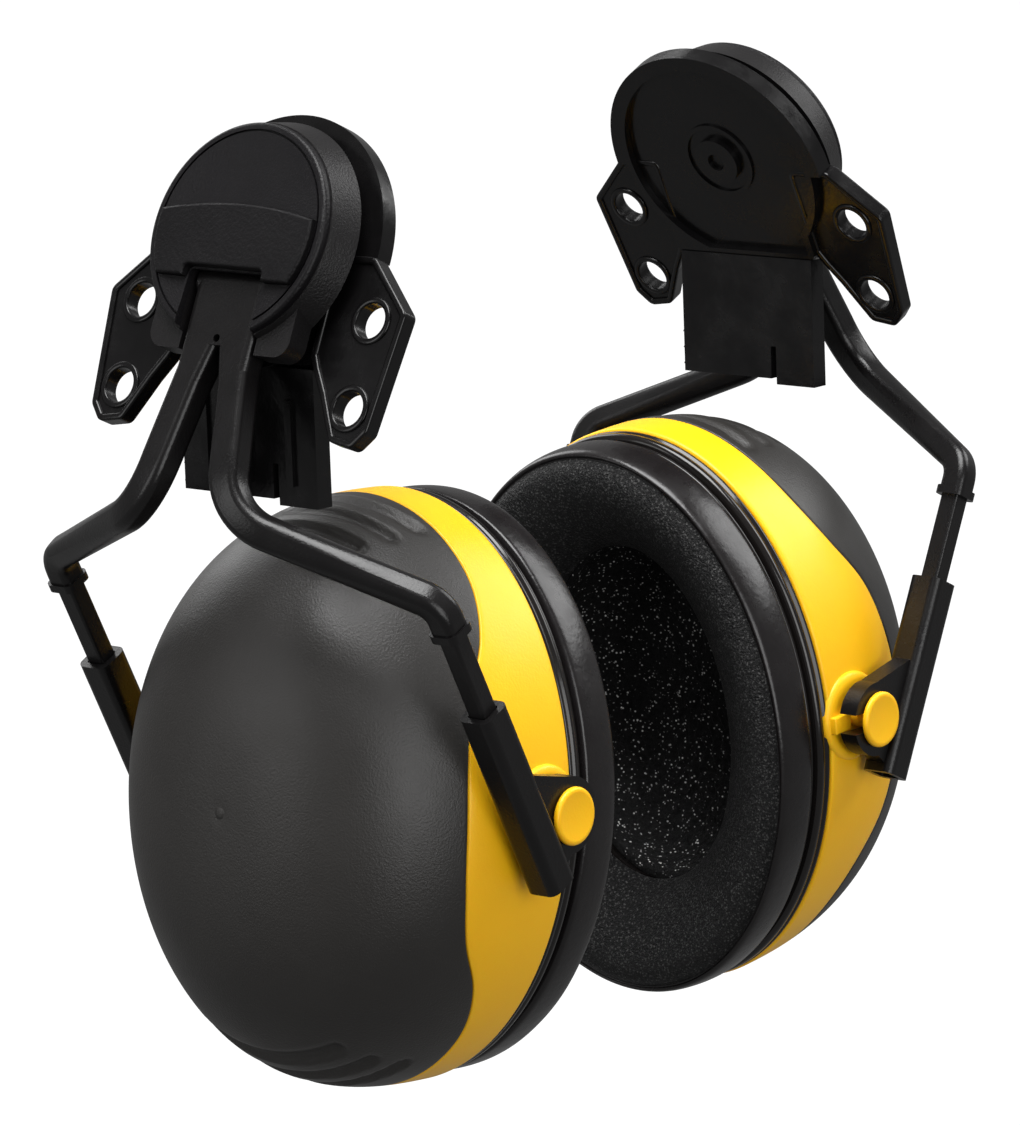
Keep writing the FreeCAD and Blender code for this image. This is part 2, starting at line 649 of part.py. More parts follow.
def round_dome(a, d):
    """Closed dome on the ring plane, round in plan, superellipse in section, flat at its pole."""
    steps = 12
    power = 2.0 / DOME_POWER
    points = []
    for i in range(steps + 1):
        t = math.pi / 2 * i / steps
        points.append(V(a * abs(math.cos(t)) ** power, 0, d * math.sin(t) ** power))
    points[-1] = V(GATE_R, 0, d)
    curve = Part.BSplineCurve()
    curve.interpolate(Points=points, InitialTangent=V(0, 0, 1), FinalTangent=V(-1, 0, 0))
    corners = [points[-1], V(0, 0, d), V(0, 0, 0), points[0]]
    lines = [Part.makeLine(corners[i], corners[i + 1]) for i in range(3)]
    return Part.Face(Part.Wire([curve.toShape()] + lines)).revolve(V(0, 0, 0), V(0, 0, 1), 360)


def dome_at(depth):
    """The cup's outer dome moved inwards by depth, still round in plan."""
    return round_dome(CUP_A - depth, CUP_D - depth)


def stretched(shape):
    """Turn the round shape into the cup's tall ellipse and place it in the unit."""
    stretch = FreeCAD.Matrix()
    stretch.scale(1, CUP_B / CUP_A, 1)
    return placed(shape.transformGeometry(stretch).Solids[0], CUP_FRAME)


def below_band_edge(gap):
    """Everything under the band's wavy edge, in the round space: lobes at the studs."""
    half = [(0.0, BAND_LOBE), (0.23, BAND_LOBE - 0.9), (0.42, BAND_LOBE - 3.6),
            (0.58, BAND_WAIST + 3.4), (0.73, BAND_WAIST), (0.88, BAND_END + 0.5), (1.2, BAND_END)]
    right = [V(0, share * CUP_A, h + gap) for share, h in half]
    left = [V(0, -p.y, p.z) for p in reversed(right[1:])]
    points = left + right
    base = V(0, 0, -3)
    curve = Part.BSplineCurve()
    curve.interpolate(Points=points)
    corners = [points[-1], V(0, points[-1].y, base.z), V(0, points[0].y, base.z), points[0]]
    sides = [Part.makeLine(corners[i], corners[i + 1]) for i in range(3)]
    reach = 2 * CUP_A
    solid = Part.Face(Part.Wire([curve.toShape()] + sides)).extrude(V(2 * reach, 0, 0))
    solid.translate(V(-reach, 0, 0))
    return solid


def cup_shell():
    groove = below_band_edge(BAND_GAP).cut(dome_at(BAND_T + BAND_GAP))
    shell = dome_at(0).cut(groove)
    return stretched(shell.cut(dome_at(BAND_T + BAND_GAP + SHELL_T)))


def round_space_rod(radius, x0, x1):
    """A rod on the stud axis that is round once the cup has been stretched."""
    squeeze = CUP_A / CUP_B
    middle = V(x0, STUD_Q * squeeze, STUD_H)
    ellipse = Part.Ellipse(middle + V(0, 0, radius), middle + V(0, radius * squeeze, 0), middle)
    return Part.Face(Part.Wire(ellipse.toShape())).extrude(V(x1 - x0, 0, 0))


def cup_band():
    """Coloured band with a hole on each side for its pivot stud."""
    band = dome_at(0).cut(dome_at(BAND_T)).common(below_band_edge(0.0))
    for side in (1, -1):
        hole = round_space_rod(NECK_R + STUD_FIT, side * (CUP_A - BAND_T - OVER),
                               side * (CUP_A + OVER))
        band = band.cut(hole)
    return stretched(band)


def stud(side):
    """Pivot stud pressed into the band, with the head that keeps the hook on it."""
    root = CUP_A - BAND_T + STUD_ROOT
    tip = side * (HEAD_Y + HEAD_T)
    axis = V(side, 0, 0)
    neck = Part.makeCylinder(NECK_R, HEAD_Y + HEAD_T - root,
                             V(side * root, STUD_Q, STUD_H), axis)
    head = Part.makeCylinder(HEAD_R, HEAD_T, V(side * HEAD_Y, STUD_Q, STUD_H), axis)
    head = fillet_at(head, HEAD_EDGE, lambda e: abs(e.BoundBox.XMin - tip) < 1e-3
                     and abs(e.BoundBox.XMax - tip) < 1e-3)
    return placed(fused([neck, head]), CUP_FRAME)


def ear_plate():
    """Panel that closes the cup round the ear opening, with a collar inside the shell."""
    top = -STACK_GAP
    low = top - PLATE_T
    edge_a = CUP_A - PLATE_INSET
    body = ellipse_prism(edge_a, tall(edge_a), low, top)
    body = fillet_at(body, PLATE_EDGE, edge_at_height(low))
    collar_a = CUP_A - COLLAR_INSET
    bore_a = collar_a - COLLAR_T
    collar = ellipse_prism(collar_a, tall(collar_a), top - OVER, COLLAR_H)
    bore = ellipse_prism(bore_a, tall(bore_a), top, COLLAR_H + OVER)
    body = fused([body, collar.cut(bore)])
    body = body.cut(ellipse_prism(PLATE_HOLE_A, PLATE_HOLE_B, low - OVER, top + OVER))
    return placed(body, CUP_FRAME)


def cushion_carrier():
    """Stiff ring that the cushion is bonded to and that snaps on the ear plate."""
    top = -STACK_GAP * 2 - PLATE_T
    low = top - CARRIER_T
    ring = ellipse_prism(CUP_A - CARRIER_INSET, CUP_B - CARRIER_INSET, low, top)
    ring = ring.cut(ellipse_prism(PLATE_HOLE_A, PLATE_HOLE_B, low - OVER, top + OVER))
    return placed(ring, CUP_FRAME)


def ear_cushion():
    body = ellipse_prism(CUP_A - CUSHION_INSET_A, CUP_B - CUSHION_INSET_B,
                         -CUSHION_FACE, -CUSHION_BACK)
    body = body.cut(ellipse_prism(CUSHION_HOLE_A, CUSHION_HOLE_B, -CUSHION_FACE - OVER, 0))
    body = fillet_at(body, CUSHION_ROUND, edge_at_height(-CUSHION_FACE))
    return placed(body, CUP_FRAME)


def foam_liner():
    """Open-cell foam that lines the cup, hollowed towards the ear."""
    foam = round_dome(CUP_A - COLLAR_INSET - COLLAR_T - FOAM_GAP, FOAM_D)
    return stretched(foam.cut(round_dome(BOWL_A, BOWL_D)))


# ---------------------------------------------------------------- the pair
def unit():
    parts = {
        "adapter_plate": adapter_plate(),
        "hub_pin": hub_pin(),
        "friction_washer": friction_washer(),
        "housing": housing(),
        "cap": cap(),
        "cap_panel": cap_panel(),
        "tilt_pin": tilt_pin(),
        "press_spring": press_spring(),
        "arm": arm(),
        "cup_shell": cup_shell(),
        "cup_band": cup_band(),
        "ear_plate": ear_plate(),
        "cushion_carrier": cushion_carrier(),
        "ear_cushion": ear_cushion(),
        "foam_liner": foam_liner()}
    for name, side, pivot_gap in (("front", 1, OPEN_PIVOT_GAP), ("rear", -1, RUNNING)):
        parts[name + "_stem"] = stem(side)
        parts[name + "_clip"] = clip(side, pivot_gap)
        parts[name + "_stud"] = stud(side)
    return parts


def export(name, shape):
    solids = shape.Solids
    volume = sum(s.Volume for s in solids)
    ok = shape.isValid() and len(solids) == 1 and volume > 0
    print(f"{name:24s} solids {len(solids)} volume {volume:9.1f} {'ok' if ok else 'CHECK'}")
    solids[0].exportStep(f"parts/{name}.step")


def main():
    os.makedirs("parts", exist_ok=True)
    for name, shape in unit().items():
        export("right_" + name, shape)
        export("left_" + name, shape.mirror(V(0, 0, 0), V(1, 0, 0)))


main()
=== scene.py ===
import json
import math

import bmesh
import bpy
import numpy as np
from mathutils import Matrix, Vector, noise


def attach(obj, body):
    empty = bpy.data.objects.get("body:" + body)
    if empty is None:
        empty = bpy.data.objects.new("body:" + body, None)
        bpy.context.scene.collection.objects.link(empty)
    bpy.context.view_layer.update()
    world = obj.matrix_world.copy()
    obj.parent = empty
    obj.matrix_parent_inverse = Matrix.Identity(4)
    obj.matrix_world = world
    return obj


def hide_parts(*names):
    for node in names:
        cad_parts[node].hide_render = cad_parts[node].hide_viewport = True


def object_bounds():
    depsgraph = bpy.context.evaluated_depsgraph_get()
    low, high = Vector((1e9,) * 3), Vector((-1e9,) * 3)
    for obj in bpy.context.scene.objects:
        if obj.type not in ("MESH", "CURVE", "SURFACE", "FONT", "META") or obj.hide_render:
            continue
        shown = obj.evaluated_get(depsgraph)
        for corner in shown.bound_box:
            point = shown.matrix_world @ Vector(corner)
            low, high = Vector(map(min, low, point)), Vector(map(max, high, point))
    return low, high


# A pair of helmet-mounted earmuffs. Cup pieces are built in each cup's own axes, in millimetres:
# a runs to the front, q up the cup, h outward from the plane of the cup's open side. The wings'
# borders are built the same way on each adapter, with v up the plate and w outward from it.
# Everything else keeps the frame's shape and gets its material here.

MM = 0.001
SIDES = {"right": 1, "left": -1}

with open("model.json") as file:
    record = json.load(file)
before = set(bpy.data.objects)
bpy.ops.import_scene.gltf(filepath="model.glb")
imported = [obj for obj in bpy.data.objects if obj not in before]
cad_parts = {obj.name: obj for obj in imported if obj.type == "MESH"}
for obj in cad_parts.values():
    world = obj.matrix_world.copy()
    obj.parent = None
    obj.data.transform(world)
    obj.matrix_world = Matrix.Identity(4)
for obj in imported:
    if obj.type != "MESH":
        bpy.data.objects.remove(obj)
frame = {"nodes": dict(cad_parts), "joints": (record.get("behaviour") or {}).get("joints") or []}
CAD_LOW, CAD_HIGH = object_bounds()
NODES = frame["nodes"]
JOINTS = {j["name"]: j for j in frame["joints"]}
SCENE = bpy.context.scene

# ---- cup sizes, as in the frame ----
CUP_A = 39.5
CUP_B = 52.0
CUP_D = 45.0
POWER = 2.7
CUP_LEAN = math.radians(5.0)
PLATE_LEAN = math.radians(25.0)
STUD_Q = 0.7
STUD_H = 6.7
BAND_T = 1.8
BAND_GAP = 0.15
SHELL_T = 1.6
# share of the cup's half height, height of the band's edge there
BAND_EDGE = [(0.0, 23.5), (0.23, 22.6), (0.42, 19.9), (0.58, 14.8), (0.73, 11.4), (0.88, 9.9),
             (1.2, 9.4)]
NECK_R = 1.75
HEAD_R = 5.0
HEAD_Y = 45.1
HEAD_T = 1.2
STUD_ROOT = 38.0           # where a stud starts inside the band
PLATE_LOW = -3.2
SEGMENTS = 288             # round every loop of a cup's moulding


# ---------------------------------------------------------------- mesh helpers
class Leaning:
    """Turns millimetres in the axes of a leaning face into row coordinates in metres."""

    def __init__(self, prefix, body, lean, point, local):
        """The row point in metres lies at local, in millimetres, in the leaning axes."""
        self.prefix = prefix
        self.body = body
        self.side = SIDES[prefix]
        s, c = math.sin(lean), math.cos(lean)
        self.out = np.array([self.side * c, 0.0, s])
        self.up = np.array([-self.side * s, 0.0, c])
        self.front = np.array([0.0, 1.0, 0.0])
        a, up, out = local
        self.origin = np.array(point) / MM - self.front * a - self.up * up - self.out * out

    def points(self, local):
        local = np.asarray(local, float)
        world = (self.origin + local[:, 0:1] * self.front + local[:, 1:2] * self.up
                 + local[:, 2:3] * self.out)
        return world * MM


def cup_axes(prefix):
    stud = JOINTS[prefix + "_cup_tilt"]["pos_m"]
    return Leaning(prefix, prefix + "_cup", CUP_LEAN, (stud[0], 0.0, stud[2]), (0.0, STUD_Q, STUD_H))


def plate_axes(prefix):
    hub = JOINTS[prefix + "_swivel"]["pos_m"]
    return Leaning(prefix, "adapters", PLATE_LEAN, hub, (0.0, 0.0, 0.0))


def make_object(name, verts, faces):
    mesh = bpy.data.meshes.new(name)
    mesh.from_pydata([tuple(v) for v in verts], [], faces)
    mesh.update()
    work = bmesh.new()
    work.from_mesh(mesh)
    bmesh.ops.recalc_face_normals(work, faces=work.faces)
    work.to_mesh(mesh)
    work.free()
    mesh.polygons.foreach_set("use_smooth", [True] * len(mesh.polygons))
    piece = bpy.data.objects.new(name, mesh)
    SCENE.collection.objects.link(piece)
    return piece


def placed(piece, body, material, replaces=()):
    piece.data.materials.append(material)
    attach(piece, body)
    if replaces:
        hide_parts(*replaces)


class Skin:
    """Collects closed shells, each a stack of loops, into one mesh in cup coordinates."""

    def __init__(self):
        self.verts = []
        self.faces = []

    def loft(self, loops, closed=False):
        """Join loops of equal length in turn. Open ends are closed by a fan."""
        start = len(self.verts)
        count = len(loops[0])
        for loop in loops:
            self.verts.extend([tuple(p) for p in loop])
        pairs = [(i, i + 1) for i in range(len(loops) - 1)]
        if closed:
            pairs.append((len(loops) - 1, 0))
        for i, j in pairs:
            for k in range(count):
                m = (k + 1) % count
                self.faces.append((start + i * count + k, start + i * count + m,
                                   start + j * count + m, start + j * count + k))
        if not closed:
            for i in (0, len(loops) - 1):
                middle = len(self.verts)
                self.verts.append(tuple(np.mean(loops[i], axis=0)))
                for k in range(count):
                    m = (k + 1) % count
                    self.faces.append((start + i * count + k, start + i * count + m, middle))
        return self

    def lathe(self, centre, axis, profile, count):
        """A turned solid: profile holds (radius, distance along the axis)."""
        axis = Vector(axis).normalized()
        across = axis.orthogonal().normalized()
        other = axis.cross(across)
        loops = []
        for radius, along in profile:
            loop = []
            for k in range(count):
                turn = 2 * math.pi * k / count
                p = Vector(centre) + axis * along
                loop.append(p + across * radius * math.cos(turn) + other * radius * math.sin(turn))
            loops.append(loop)
        return self.loft(loops)

    def brick(self, low, high, edge):
        """A box with rounded edges."""
        low, high = Vector(low), Vector(high)
        middle, half = (low + high) / 2, (high - low) / 2
        work = bmesh.new()
        bmesh.ops.create_cube(work, size=2.0)
        for v in work.verts:
            v.co = Vector((v.co.x * half.x, v.co.y * half.y, v.co.z * half.z)) + middle
        bmesh.ops.bevel(work, geom=work.edges[:], offset=edge, segments=3, affect="EDGES",
                        profile=0.5)
        work.verts.ensure_lookup_table()
        start = len(self.verts)
        self.verts.extend([tuple(v.co) for v in work.verts])
        self.faces.extend([tuple(start + v.index for v in f.verts) for f in work.faces])
        work.free()

    def build(self, name, cup):
        return make_object(name, cup.points(self.verts), self.faces)


def around():
    return np.arange(SEGMENTS) * 2 * math.pi / SEGMENTS


def ellipse_loop(a, b, h):
    turn = around()
    return np.stack([a * np.cos(turn), b * np.sin(turn), np.full(SEGMENTS, h)], axis=1)


def smooth_step(x):
    x = np.clip(x, 0.0, 1.0)
    return x * x * (3 - 2 * x)


def band_edge(share):
    """Height of the band's wavy edge at a share of the cup's half height."""
    xs = np.array([-p[0] for p in BAND_EDGE[:0:-1]] + [p[0] for p in BAND_EDGE])
    ys = np.array([p[1] for p in BAND_EDGE[:0:-1]] + [p[1] for p in BAND_EDGE])
    slopes = np.gradient(ys, xs)
    share = np.clip(share, xs[0], xs[-1])
    i = np.clip(np.searchsorted(xs, share) - 1, 0, len(xs) - 2)
    width = xs[i + 1] - xs[i]
    t = (share - xs[i]) / width
    return ((2 * t ** 3 - 3 * t ** 2 + 1) * ys[i] + (t ** 3 - 2 * t ** 2 + t) * width * slopes[i]
            + (3 * t ** 2 - 2 * t ** 3) * ys[i + 1] + (t ** 3 - t ** 2) * width * slopes[i + 1])


def dome_share(h, depth=0.0):
    """Share of the dome's width that is left at height h."""
    return np.clip(1 - (np.clip(h, 0, None) / (CUP_D - depth)) ** POWER, 0, 1) ** (1 / POWER)


def dome_loop(h, depth=0.0):
    """Loop on the dome moved inwards by depth; h is one height or one for each segment."""
    turn = around()
    h = np.broadcast_to(np.asarray(h, float), turn.shape)
    share = dome_share(h, depth)
    a = (CUP_A - depth) * share
    return np.stack([a * np.cos(turn), a * CUP_B / CUP_A * np.sin(turn), h], axis=1)


EDGE_GUESS = 15.0
EDGE_ROUNDS = 40


def edge_heights():
    """Height of the band's edge for each segment of a loop, found by repeated averaging."""
    turn = around()
    h = np.full(SEGMENTS, EDGE_GUESS)
    for _ in range(EDGE_ROUNDS):
        h = 0.5 * h + 0.5 * band_edge(dome_share(h) * np.sin(turn))
    return h


def dome_normals(loop):
    a, q, h = loop[:, 0], loop[:, 1], loop[:, 2]
    rho = np.sqrt((a / CUP_A) ** 2 + (q / CUP_B) ** 2)
    pull = np.maximum(rho, 1e-6) ** (POWER - 2)
    rise = (np.maximum(h, 0) / CUP_D) ** (POWER - 1) / CUP_D
    n = np.stack([pull * a / CUP_A ** 2, pull * q / CUP_B ** 2, rise], axis=1)
    return n / np.linalg.norm(n, axis=1, keepdims=True)


# ---------------------------------------------------------------- cup shell
GROOVES = [(14.2, 17.0), (20.0, 16.4), (25.6, 14.0)]      # height, half length, above the top
LOW_GROOVES = [(19.4, 20.0), (25.2, 18.4), (30.8, 16.0)]  # the same at the bottom
GROOVE_DEPTH = 1.15
GROOVE_HALF = 2.1          # half width
GROOVE_SAG = 2.4           # how far a groove's line drops at GROOVE_SAG_A from the middle
GROOVE_SAG_A = 20.0
GROOVE_STEEP = 1.75        # the lower flank falls faster than the upper one
GROOVE_EASY = 0.8
GROOVE_FLOOR = 1.25        # above 1 the bottom of the scoop is flat
EDGE_ROLL = 0.45           # from the band's edge to the start of the plain dome
SHELL_ROWS = 96
INNER_ROWS = 24
GATE_R = 1.6               # flat round the moulding gate
GATE_NUB = [(1.15, -0.06), (0.9, -0.06), (0.8, 0.04), (0.5, 0.08), (0.15, 0.08)]
POLE_DROP = 0.01


def groove_depth(loop):
    """Three scooped finger grips across the top of the shell and three across the bottom."""
    a, q, h = loop[:, 0], loop[:, 1], loop[:, 2]
    depth = np.zeros(len(a))
    for rows, sign in ((GROOVES, 1), (LOW_GROOVES, -1)):
        for height, half in rows:
            middle = height - GROOVE_SAG * (a / GROOVE_SAG_A) ** 2
            past = np.maximum(np.abs(a) - (half - GROOVE_HALF), 0)
            rise = h - middle
            rise = np.where(rise < 0, rise * GROOVE_STEEP, rise * GROOVE_EASY)
            away = np.sqrt(past ** 2 + rise ** 2) / GROOVE_HALF
            scoop = smooth_step(GROOVE_FLOOR * (1 - away)) * GROOVE_DEPTH
            depth = np.where(sign * q > 0, np.maximum(depth, scoop), depth)
    return depth


def cup_shell(cup, material):
    """The dome from its gate down to the band, tucked behind the band, and its inner face."""
    edge = edge_heights()
    skin = Skin()
    seat = BAND_T + BAND_GAP
    start = np.arcsin(np.clip((edge + EDGE_ROLL) / CUP_D, 0, 1) ** (POWER / 2))
    end = math.acos((GATE_R / CUP_A) ** (POWER / 2))
    loops = []
    for i in range(SHELL_ROWS + 1):
        t = start + (end - start) * i / SHELL_ROWS
        loop = dome_loop(CUP_D * np.sin(t) ** (2 / POWER))
        loops.append(loop - dome_normals(loop) * groove_depth(loop)[:, None])
    loops += [ellipse_loop(radius, radius, CUP_D + rise - POLE_DROP) for radius, rise in GATE_NUB]
    rim = [dome_loop(edge + 0.28, 0.06), dome_loop(edge + 0.18, 0.22), dome_loop(edge + 0.15, 0.5),
           dome_loop(edge + BAND_GAP, seat)]
    behind = [dome_loop(edge * (1 - k / 4), seat) for k in range(1, 4)]
    foot = [dome_loop(0.15, seat), dome_loop(0.0, seat + 0.15), dome_loop(0.0, seat + SHELL_T - 0.15),
            dome_loop(0.15, seat + SHELL_T)]
    inner_d = CUP_D - seat - SHELL_T
    inner = [dome_loop(inner_d * math.sin(math.pi / 2 * k / INNER_ROWS) ** (2 / POWER),
                       seat + SHELL_T) for k in range(1, INNER_ROWS)]
    skin.loft(loops[::-1] + rim + behind + foot + inner)
    shell = skin.build(cup.prefix + "_cup_shell_moulding", cup)
    placed(shell, cup.body, material, [cup.prefix + "_cup_shell"])


# ---------------------------------------------------------------- band
BAND_FOOT = 0.6            # top of the rounded lower edge
BAND_ROWS = 16
TURNED = 56                # segments round a boss or stud
BOSS = [(8.2, 0.0), (8.0, 1.4), (7.5, 1.75), (6.6, 1.95), (2.6, 2.0), (2.0, 1.9), (1.95, 1.0),
        (1.95, 0.0)]
KEY_HALF = 1.55            # short rib below each boss
KEY_LOW = -0.4
KEY_HIGH = STUD_H - 2.5
KEY_IN = CUP_A - 0.6
KEY_OUT = CUP_A + 1.55
KEY_EDGE = 0.25


def cup_band(cup, material):
    """Yellow band with its wavy edge, and a boss and a short rib at each stud."""
    edge = edge_heights()
    skin = Skin()
    outer = [dome_loop(0.1, 0.35), dome_loop(0.28, 0.08), dome_loop(BAND_FOOT, 0.0)]
    for k in range(1, BAND_ROWS):
        outer.append(dome_loop(BAND_FOOT + (edge - 1.0) * k / BAND_ROWS, 0.0))
    outer += [dome_loop(edge - 0.35, 0.0), dome_loop(edge - 0.12, 0.06), dome_loop(edge, 0.28),
              dome_loop(edge, 0.9)]
    inner = [dome_loop(edge - 0.1, BAND_T)]
    for k in range(1, 6):
        inner.append(dome_loop((edge - 0.1) * (1 - k / 6), BAND_T))
    inner.append(dome_loop(0.0, BAND_T - 0.1))
    skin.loft(outer + inner, closed=True)
    for side in (1, -1):
        skin.lathe((side * STUD_ROOT, STUD_Q, STUD_H), (side, 0, 0), BOSS, TURNED)
        low_a, high_a = sorted((side * KEY_IN, side * KEY_OUT))
        skin.brick((low_a, STUD_Q - KEY_HALF, KEY_LOW), (high_a, STUD_Q + KEY_HALF, KEY_HIGH),
                   KEY_EDGE)
    band = skin.build(cup.prefix + "_cup_band_moulding", cup)
    placed(band, cup.body, material, [cup.prefix + "_cup_band"])


def stud(cup, name, side, material):
    """Pivot stud with a disc head that has a fine step round its face."""
    reach = HEAD_Y - STUD_ROOT
    skin = Skin().lathe((side * STUD_ROOT, STUD_Q, STUD_H), (side, 0, 0), [
        (NECK_R - 0.2, 0.0), (NECK_R, 0.2), (NECK_R, reach - 0.1), (NECK_R + 0.1, reach),
        (HEAD_R - 0.35, reach), (HEAD_R, reach + 0.3), (HEAD_R, reach + 0.75),
        (HEAD_R - 0.1, reach + 0.98), (HEAD_R - 0.35, reach + HEAD_T),
        (HEAD_R - 0.9, reach + HEAD_T - 0.02), (HEAD_R - 1.3, reach + HEAD_T - 0.12),
        (0.4, reach + HEAD_T - 0.12)], TURNED)
    pin = skin.build(f"{cup.prefix}_{name}_stud_turning", cup)
    placed(pin, cup.body, material, [f"{cup.prefix}_{name}_stud"])


# ---------------------------------------------------------------- adapter wings
WING_OUTLINE = [(15.0, -1.4), (23.7, -1.4), (33.1, -10.5), (31.0, -31.0), (28.4, -34.0), (23.3, -33.2),
                (19.0, -25.5), (16.4, -21.6), (15.0, -19.0)]
WING_ROUND = 1.8
WING_FACES = ((2.5, 1), (0.3, -1))      # outer and inner face of the wing, and which way they look
WING_HOLE_A = 25.8
WING_HOLES_V = (-12.2, -27.3)
WING_HOLE_R = 3.05
HOLE_SEGMENTS = 48
CORNER_STEPS = 6
CORNER_SHARE = 0.45                     # a rounded corner takes at most this share of a side
LEAST_ROUND = 0.2
# how far in from the edge and how high a raised border stands, once round its section
BORDER = [(0.02, -0.3), (0.02, 0.3), (0.2, 0.48), (0.95, 0.48), (1.2, 0.3), (1.25, -0.3)]
COLLAR = [(0.02, -0.3), (0.02, 0.25), (0.15, 0.4), (0.85, 0.4), (1.05, 0.25), (1.1, -0.3)]


def rounded_outline(corners, radius, inset):
    """Points round a polygon moved inwards by inset, its corners rounded."""
    corners = [np.array(c, float) for c in corners]
    count = len(corners)
    lines = []
    for i in range(count):
        run = corners[(i + 1) % count] - corners[i]
        run /= np.linalg.norm(run)
        lines.append((corners[i] + np.array([run[1], -run[0]]) * inset, run))
    points = []
    for i in range(count):
        (start, before), (base, after) = lines[i - 1], lines[i]
        turn = before[0] * after[1] - before[1] * after[0]
        along = ((base - start)[0] * after[1] - (base - start)[1] * after[0]) / turn
        corner = start + before * along
        half = math.acos(np.clip(np.dot(before, after), -1, 1)) / 2
        r = max(radius - inset * math.copysign(1, -turn), LEAST_ROUND)
        shorter = min(np.linalg.norm(corners[i] - corners[i - 1]),
                      np.linalg.norm(corners[(i + 1) % count] - corners[i]))
        reach = min(r * math.tan(half), CORNER_SHARE * shorter)
        first, last = corner - before * reach, corner + after * reach
        for k in range(CORNER_STEPS + 1):
            t = k / CORNER_STEPS
            points.append((1 - t) ** 2 * first + 2 * t * (1 - t) * corner + t ** 2 * last)
    return points


def wing_border(plate, name, side, material):
    """Raised border round one wing and collars round its holes, on both faces."""
    skin = Skin()
    for face, way in WING_FACES:
        loops = []
        for inset, rise in BORDER:
            outline = rounded_outline(WING_OUTLINE, WING_ROUND, inset)
            loops.append([(side * a, v, face + way * rise) for a, v in outline])
        skin.loft(loops, closed=True)
        for hole_v in WING_HOLES_V:
            loops = []
            for out, rise in COLLAR:
                radius = WING_HOLE_R + out
                turns = np.linspace(0, 2 * math.pi, HOLE_SEGMENTS, endpoint=False)
                loops.append([(side * WING_HOLE_A + radius * math.cos(t),
                               hole_v + radius * math.sin(t), face + way * rise) for t in turns])
            skin.loft(loops, closed=True)
    border = skin.build(f"{plate.prefix}_{name}_wing_border", plate)
    placed(border, plate.body, material)


# ---------------------------------------------------------------- ear plate, carrier, foam
def ring_of(profile):
    """Loops for a closed ring: profile holds (half width, half height, h)."""
    return [ellipse_loop(a, b, h) for a, b, h in profile]


def ear_plate(cup, material):
    """Glossy panel with a groove round its edge and the collar inside the shell."""
    profile = [(39.0, 51.4, -0.25), (39.25, 51.65, -0.45), (39.25, 51.65, -1.0), (38.75, 51.15, -1.2),
               (38.75, 51.15, -1.5), (39.2, 51.6, -1.75), (39.15, 51.55, -2.6), (38.8, 51.2, -3.0),
               (38.2, 50.6, PLATE_LOW), (25.0, 35.0, PLATE_LOW), (24.0, 34.0, -2.7), (24.0, 34.0, -0.4),
               (33.9, 44.6, -0.3), (33.95, 44.7, 3.7), (34.1, 44.9, 4.0), (35.3, 46.4, 4.0),
               (35.55, 46.8, 3.7), (35.55, 46.8, 0.0), (36.0, 47.4, -0.2)]
    skin = Skin().loft(ring_of(profile), closed=True)
    plate = skin.build(cup.prefix + "_ear_plate_moulding", cup)
    placed(plate, cup.body, material, [cup.prefix + "_ear_plate"])


def cushion_carrier(cup, material):
    """Flat ring with rounded edges between the ear plate and the cushion."""
    profile = [(37.2, 49.7, -3.4), (38.0, 50.5, -3.6), (38.1, 50.6, -4.0), (38.0, 50.5, -4.5),
               (37.4, 49.9, -4.6), (24.4, 34.4, -4.6), (24.0, 34.0, -4.4), (24.0, 34.0, -3.6),
               (24.4, 34.4, -3.4)]
    skin = Skin().loft(ring_of(profile), closed=True)
    carrier = skin.build(cup.prefix + "_cushion_carrier_ring", cup)
    placed(carrier, cup.body, material, [cup.prefix + "_cushion_carrier"])


FOAM_A = 33.4
FOAM_D = 22.9
BOWL_A = 24.0
BOWL_D = 14.0
BACK_ROWS = 20
MOUTH_ROWS = 5
BOWL_ROWS = 60
RIM_ROWS = 8               # rows over which the rough skin fades in from the bowl's rim
CELL_DEPTH = 0.55


def open_cells(point, depth):
    """Coarse skin of open-cell foam: large cells and a finer crumble."""
    large = noise.noise(Vector(point) * 0.55, noise_basis="VORONOI_F1")
    small = noise.noise(Vector(point) * 1.3, noise_basis="BLENDER")
    return depth * (large * 0.9 + small * 0.6)


def foam_dome(a, d, share):
    """Loop on a dome of half width a and depth d, share of the way from its rim to its pole."""
    t = math.pi / 2 * share
    rho = math.cos(t) ** (2 / POWER)
    return ellipse_loop(a * rho, a * rho * CUP_B / CUP_A, d * math.sin(t) ** (2 / POWER))


def foam_liner(cup, material):
    """Foam that lines the cup, with a rough bowl towards the ear."""
    back = [foam_dome(FOAM_A, FOAM_D, k / BACK_ROWS) for k in range(BACK_ROWS - 1, -1, -1)]
    mouth = []
    for k in range(1, MOUTH_ROWS):
        a = FOAM_A - k * (FOAM_A - BOWL_A) / MOUTH_ROWS
        mouth.append(ellipse_loop(a, a * CUP_B / CUP_A, 0.0))
    bowl = []
    for k in range(BOWL_ROWS):
        loop = foam_dome(BOWL_A, BOWL_D, k / BOWL_ROWS)
        rise = [open_cells(p, CELL_DEPTH) for p in loop]
        loop[:, 2] += np.array(rise) * smooth_step(k / RIM_ROWS)
        bowl.append(loop)
    skin = Skin().loft(back + mouth + bowl)
    foam = skin.build(cup.prefix + "_foam_insert", cup)
    placed(foam, cup.body, material, [cup.prefix + "_foam_liner"])


# ---------------------------------------------------------------- ear cushion
CUSHION_OUT = (38.9, 51.2)
CUSHION_HOLE = (21.2, 31.2)
